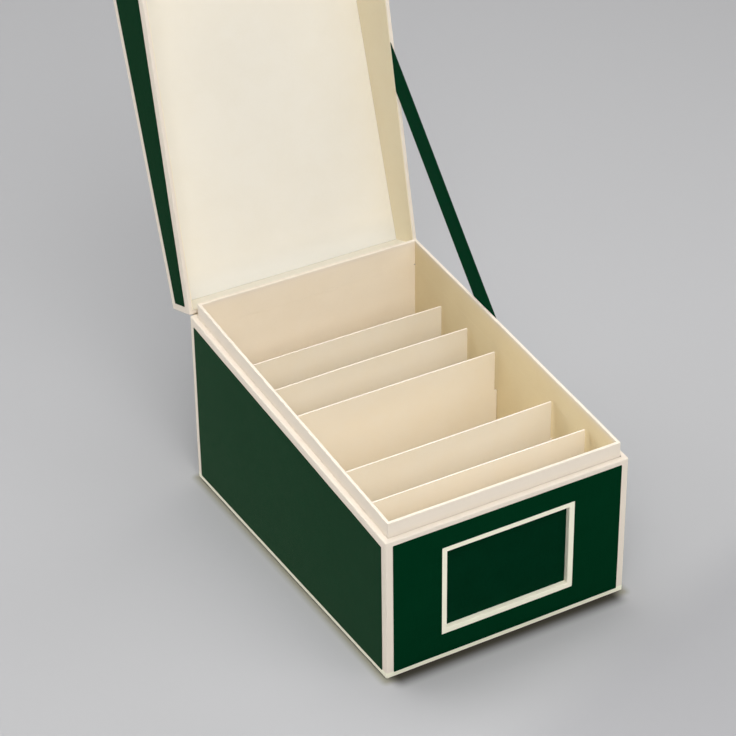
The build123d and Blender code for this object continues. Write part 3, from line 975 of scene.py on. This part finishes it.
lid_run = OPEN_TURN.to_3x3() @ Vector((0, -1, 0))
lid_inside = Vector((HALF_WIDTH - LID_WALL, HALF_DEPTH - LID_WALL, CLOSED_HEIGHT - LID_WALL))
lid_walls = block("lid_wall_strip", (-lid_inside.x, -lid_inside.y, LID_START), lid_inside)
with shaping(lid_walls):
    trim(RIM_GAP + LINING_BACK, -1, fill=False)
    pick(lid_walls, "FACE", facing(0, 0, 1))
    bpy.ops.mesh.delete(type="FACE")
    round_edges(lid_walls, sharp, LINING_CORNER)
    grid_lines(lid_walls)
    bpy.ops.mesh.select_all(action="SELECT")
    bpy.ops.mesh.flip_normals()
settle(lid_walls)
thicken(lid_walls, LID_LINING)
turn_open(lid_walls)
finish_piece(lid_walls, "lid", "cream_paper", lid_wall_paper, "lid_wall_lining")

# The strip's rear stretch, next to the hinge, is as pale as the lining.
lid_walls.data.materials.append(lid_rear_paper.material)
for face in lid_walls.data.polygons:
    face.material_index = int(face.normal.dot(lid_run) > ALIGNED)

# Painted shade: the lining's foot, next to the hinge, is painted a little greyer than the rest, to tone
# down the light that bounces onto it.
lid_foot = (OPEN_TURN @ lid_inside).dot(lid_run)
up_lid = lid_lining_paper.along(lid_lining_paper.place(), lid_run)
shade_near_hinge = lid_lining_paper.between(up_lid, lid_foot + LID_FOOT_START, lid_foot + LID_FOOT_END, 1, 0)
lid_lining_paper.tint(shade_near_hinge, LID_LINING_FOOT_SHADE)

lid_sheet = block(
    "lid_lining_sheet",
    (-lid_inside.x + SHEET_GAP, -lid_inside.y + SHEET_GAP, lid_inside.z),
    (lid_inside.x - SHEET_GAP, lid_inside.y - SHEET_GAP, lid_inside.z + LID_LINING),
)
with shaping(lid_sheet):
    round_edges(lid_sheet, lambda edge: sharp(edge) and borders(edge, (0, 0, -1)), SHEET_ROUND)
    grid_lines(lid_sheet)
settle(lid_sheet)
turn_open(lid_sheet)
finish_piece(lid_sheet, "lid", "cream_paper", lid_lining_paper, "lid_top_lining")

lid_green_cloth = cloth_finish("lid_green_cloth", LID_CLOTH_SHEEN)
top_across = (LID_MARGIN - HALF_WIDTH, HALF_WIDTH - LID_MARGIN)
top_back = (LID_MARGIN - HALF_DEPTH, HALF_DEPTH - LID_MARGIN)
lid_rise = (LID_START, CLOSED_HEIGHT - LID_MARGIN)

# Each cloth: which way it looks, the two directions of its threads, and the block that it is cut from.
LID_CLOTHS = {
    "left": ((-1, 0, 0), (0, 1, 0), (0, 0, 1), (skin(-HALF_WIDTH), PANEL_BACK, lid_rise)),
    "right": ((1, 0, 0), (0, 1, 0), (0, 0, 1), (skin(HALF_WIDTH), PANEL_BACK, lid_rise)),
    "front": ((0, -1, 0), (1, 0, 0), (0, 0, 1), (PANEL_ACROSS, skin(-HALF_DEPTH), lid_rise)),
    "rear": ((0, 1, 0), (1, 0, 0), (0, 0, 1), (PANEL_ACROSS, skin(HALF_DEPTH), lid_rise)),
    "top": ((0, 0, 1), (1, 0, 0), (0, 1, 0), (top_across, top_back, skin(CLOSED_HEIGHT))),
}
for cloth_name, (outward, across, up, runs) in LID_CLOTHS.items():
    lid_cloth = slab(f"lid_{cloth_name}_cloth", *runs)
    with shaping(lid_cloth):
        trim(RIM_GAP + LID_MARGIN, -1)
        soften_panel(lid_cloth, outward)
        grid_lines(lid_cloth)
    settle(lid_cloth)
    map_threads(lid_cloth, across, up)
    turn_open(lid_cloth)
    finish_piece(lid_cloth, "lid", "green_cloth", lid_green_cloth, f"lid_{cloth_name}_panel")


# Hinge: a strip of cream cloth, with one flap pasted on the body's rear wall and one on the lid's. It bends
# in a tight round between them.
HINGE_FLAP = 5.4 * MM
HINGE_CLOTH = 0.35 * MM
HINGE_END_INSET = 4 * MM
HINGE_ROUND = 0.4 * MM
HINGE_STEPS = 10

hinge_half = HALF_WIDTH - HINGE_END_INSET
lid_back_run = (OPEN_TURN.to_3x3() @ Vector((0, 0, 1))).normalized()
fold_inset = HINGE_ROUND / tan((pi - OPEN_ANGLE) / 2)
cloth_line = HALF_DEPTH + HINGE_CLOTH / 2
lid_line_start = HINGE_LINE + OPEN_TURN.to_3x3() @ Vector((0, HINGE_CLOTH / 2, 0))
crease_run = (cloth_line - lid_line_start.y) / lid_back_run.y
crease = lid_line_start + lid_back_run * crease_run
bend_low = Vector((0, cloth_line, crease.z - fold_inset))

bpy.ops.object.select_all(action="DESELECT")
bpy.ops.mesh.primitive_plane_add(size=1)
hinge_cloth = bpy.context.object
hinge_cloth.name = hinge_cloth.data.name = "hinge_cloth"
flap_low = Vector((0, cloth_line, REAR_HEIGHT - HINGE_FLAP))
hinge_cloth.matrix_world = (
    Matrix.Translation((flap_low + bend_low) / 2)
    @ Matrix.Rotation(pi / 2, 4, "X")
    @ Matrix.Diagonal((2 * hinge_half, (bend_low - flap_low).length, 1, 1))
)
bpy.ops.object.transform_apply(location=True, rotation=True, scale=True)
with shaping(hinge_cloth):
    pick(hinge_cloth, "EDGE", lambda edge: edge_middle(edge).z > bend_low.z - HAIR)
    bpy.ops.mesh.spin(
        steps=HINGE_STEPS,
        angle=OPEN_ANGLE,
        center=bend_low + Vector((0, HINGE_ROUND, 0)),
        axis=(-1, 0, 0),
    )
    bpy.ops.mesh.extrude_region_move(
        TRANSFORM_OT_translate={"value": lid_back_run * (HINGE_FLAP - fold_inset - crease_run)}
    )
    bpy.ops.mesh.select_all(action="SELECT")
    bpy.ops.mesh.remove_doubles(threshold=HAIR)
thicken(hinge_cloth, HINGE_CLOTH, offset=0)
finish_piece(hinge_cloth, None, "cream_paper", cream_paper, "hinge_cloth_base", "hinge_cloth_lid")
crease + lid_back_run * fold_inset
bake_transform(hinge_cloth)


# Ribbon: a woven green ribbon that holds the open lid. It comes up between the shell and the neck, runs
# straight to the lid's right wall, and is glued in at both ends.
RIBBON_WIDTH = 18.2 * MM
RIBBON_THICKNESS = 0.35 * MM
RIBBON_TAIL = 28 * MM
RIBBON_BODY_Y = 25.2 * MM
RIBBON_LID_Y = -0.8 * MM
RIBBON_SLOT = 0.12 * MM
RIBBON_RIB = 0.55 * MM
SELVEDGE = 1.2 * MM
SELVEDGE_FADE = 0.4 * MM
YARN_STRETCH = (0.6, 6)
RIB_SHARE = 0.4
SELVEDGE_SHARE = 0.15
RIBBON_TONE_RANGE = (0.25, 0.8)
RIBBON_ROUGHNESS = 0.5
RIB_ROUGHNESS = 0.2
YARN_RELIEF = 0.03 * MM
RIB_RELIEF = 0.07 * MM
RIBBON_GREEN = (0.0001, 0.0370, 0.0145, 1)
RIBBON_GREEN_PALE = (0.0005, 0.0500, 0.0210, 1)
RIBBON_ROWS = 8
RIBBON_COLUMNS = 120

ribbon_green = Finish("ribbon_green", specular=0.01)
along, over = ribbon_green.split(ribbon_green.thread_place((1 / RIBBON_RIB, 1 / RIBBON_RIB, 1)))
ribs = ribbon_green.waves(along)
edge_distance = ribbon_green.maths("ABSOLUTE", over) * RIBBON_RIB
selvedge_start = RIBBON_WIDTH / 2 - SELVEDGE
selvedge = ribbon_green.between(edge_distance, selvedge_start, selvedge_start + SELVEDGE_FADE)
yarn_turns = (YARN_STRETCH[0] / RIBBON_RIB, YARN_STRETCH[1] / RIBBON_RIB, 1)
yarn = ribbon_green.cloud(ribbon_green.thread_place(yarn_turns), 1.0, detail=3)
weave_tone = ribs * RIB_SHARE + yarn * (1 - RIB_SHARE) - selvedge * SELVEDGE_SHARE
ribbon_tone = ribbon_green.between(weave_tone, *RIBBON_TONE_RANGE)
ribbon_green.set("Base Color", ribbon_green.mix(ribbon_tone, RIBBON_GREEN, RIBBON_GREEN_PALE))
ribbon_green.set("Roughness", RIBBON_ROUGHNESS + RIB_ROUGHNESS * ribs)
ribbon_green.relief((yarn, YARN_RELIEF), (ribs + selvedge, RIB_RELIEF))

slot_x = HALF_WIDTH - SHELL_WALL - NECK_SLOT + RIBBON_SLOT + RIBBON_THICKNESS / 2
recess_x = HALF_WIDTH - LID_WRAP_WALL + RIBBON_THICKNESS / 2
body_exit = Vector((slot_x, RIBBON_BODY_Y, rim_height(RIBBON_BODY_Y)))
lid_exit = OPEN_TURN @ Vector((recess_x, RIBBON_LID_Y, rim_height(RIBBON_LID_Y) + RIM_GAP))
ribbon_run = Vector((0, lid_exit.y - body_exit.y, lid_exit.z - body_exit.z))
ribbon_span = ribbon_run.length
ribbon_run.normalize()
ribbon_length = ribbon_span + 2 * RIBBON_TAIL

bpy.ops.object.select_all(action="DESELECT")
bpy.ops.mesh.primitive_grid_add(x_subdivisions=RIBBON_COLUMNS, y_subdivisions=RIBBON_ROWS, size=1)
ribbon = bpy.context.object
ribbon.name = ribbon.data.name = "ribbon"
ribbon.matrix_world = Matrix.Diagonal((ribbon_length, RIBBON_WIDTH, 1, 1))
bpy.ops.object.transform_apply(location=True, rotation=True, scale=True)
map_threads(ribbon, (1, 0, 0), (0, 1, 0))
ribbon_across = Vector((1, 0, 0)).cross(ribbon_run)
middle = (body_exit + lid_exit) / 2
middle.x = 0

# It lies in the slot's plane at one end and in the lid's at the other, and eases over between them.
for vertex in ribbon.data.vertices:
    share = min(max(vertex.co.x / ribbon_span + 0.5, 0), 1)
    ease = share * share * (3 - 2 * share)
    spread = middle + ribbon_run * vertex.co.x + ribbon_across * vertex.co.y
    spread.x = slot_x + (recess_x - slot_x) * ease
    vertex.co = spread
with shaping(ribbon):
    bpy.ops.mesh.normals_make_consistent()
thicken(ribbon, RIBBON_THICKNESS, offset=0)
finish_piece(ribbon, None, "ribbon", ribbon_green, "ribbon_base_tail", "ribbon_span", "ribbon_lid_tail")
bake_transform(ribbon)


# Dividers: five loose cards of smooth cream board, drawn in above a shoulder. Their cut edges are painted
# paler, as a painted highlight.
# They bow a little along their top, stand a little askew, and two are cut about a millimetre short.
DIVIDER_SHOULDER = 73.7 * MM
DIVIDER_SHOULDER_IN = 1.9 * MM
DIVIDER_CORNER = 0.6 * MM
DIVIDER_EDGE = 0.2 * MM
DIVIDER_CREAM = (0.874, 0.794, 0.656, 1)
DIVIDER_DEEP = (0.870, 0.773, 0.610, 1)
DIVIDER_CUT_LIT = (0.950, 0.852, 0.787, 1)

# How far each one bows back, turns back at its right end and is cut short, in millimetres.
DIVIDER_BOWS = [0.5, 0.9, 0.3, -0.3, 0.3]
DIVIDER_TURNS = [0.1, 0.6, 0.2, 0.6, -0.2]
DIVIDER_SHORTS = [0, 0, 0.1, 1.3, 1.0]

divider_card = paper_finish("divider_card", DIVIDER_CREAM, DIVIDER_DEEP, CREAM_WORN_AND_LIT)
divider_cut_lit = paper_finish("divider_cut_lit", DIVIDER_CUT_LIT, DIVIDER_CREAM, CREAM_WORN_AND_LIT)

for number, (bow, turn, short) in enumerate(zip(DIVIDER_BOWS, DIVIDER_TURNS, DIVIDER_SHORTS), start=1):
    low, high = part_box(f"divider_{number}")
    high.z -= short * MM
    shoulder = low.z + DIVIDER_SHOULDER
    tab = high.x - DIVIDER_SHOULDER_IN
    tab_root = Vector((0, (low.y + high.y) / 2, shoulder))
    divider = block(f"divider_card_{number}", low, (high.x, high.y, shoulder))
    with shaping(divider):
        for x in (-tab, tab):
            pick(divider, "FACE", facing(0, 0, 1))
            cut((x, 0, 0), (1, 0, 0))
        pick(divider, "FACE", centred(tab_root))
        bpy.ops.mesh.extrude_region_move(TRANSFORM_OT_translate={"value": (0, 0, high.z - shoulder)})
        round_edges(divider, lambda edge: convex(edge) and runs_along(edge, (0, 1, 0)), DIVIDER_CORNER)
        round_edges(divider, convex, DIVIDER_EDGE, 2)
        grid_lines(divider)
    for vertex in divider.data.vertices:
        across = vertex.co.x / high.x
        height = (vertex.co.z - low.z) / (high.z - low.z)
        vertex.co.y += bow * MM * (1 - across**2) * height**2 + turn * MM * across
    finish_piece(divider, f"divider_{number}", "divider_board", divider_card, f"divider_{number}")
    # Painted highlight: the cut edges get the paler paper.
    divider.data.materials.append(divider_cut_lit.material)
    for face in divider.data.polygons:
        face.material_index = int(abs(face.normal.y) < SIDEWAYS)
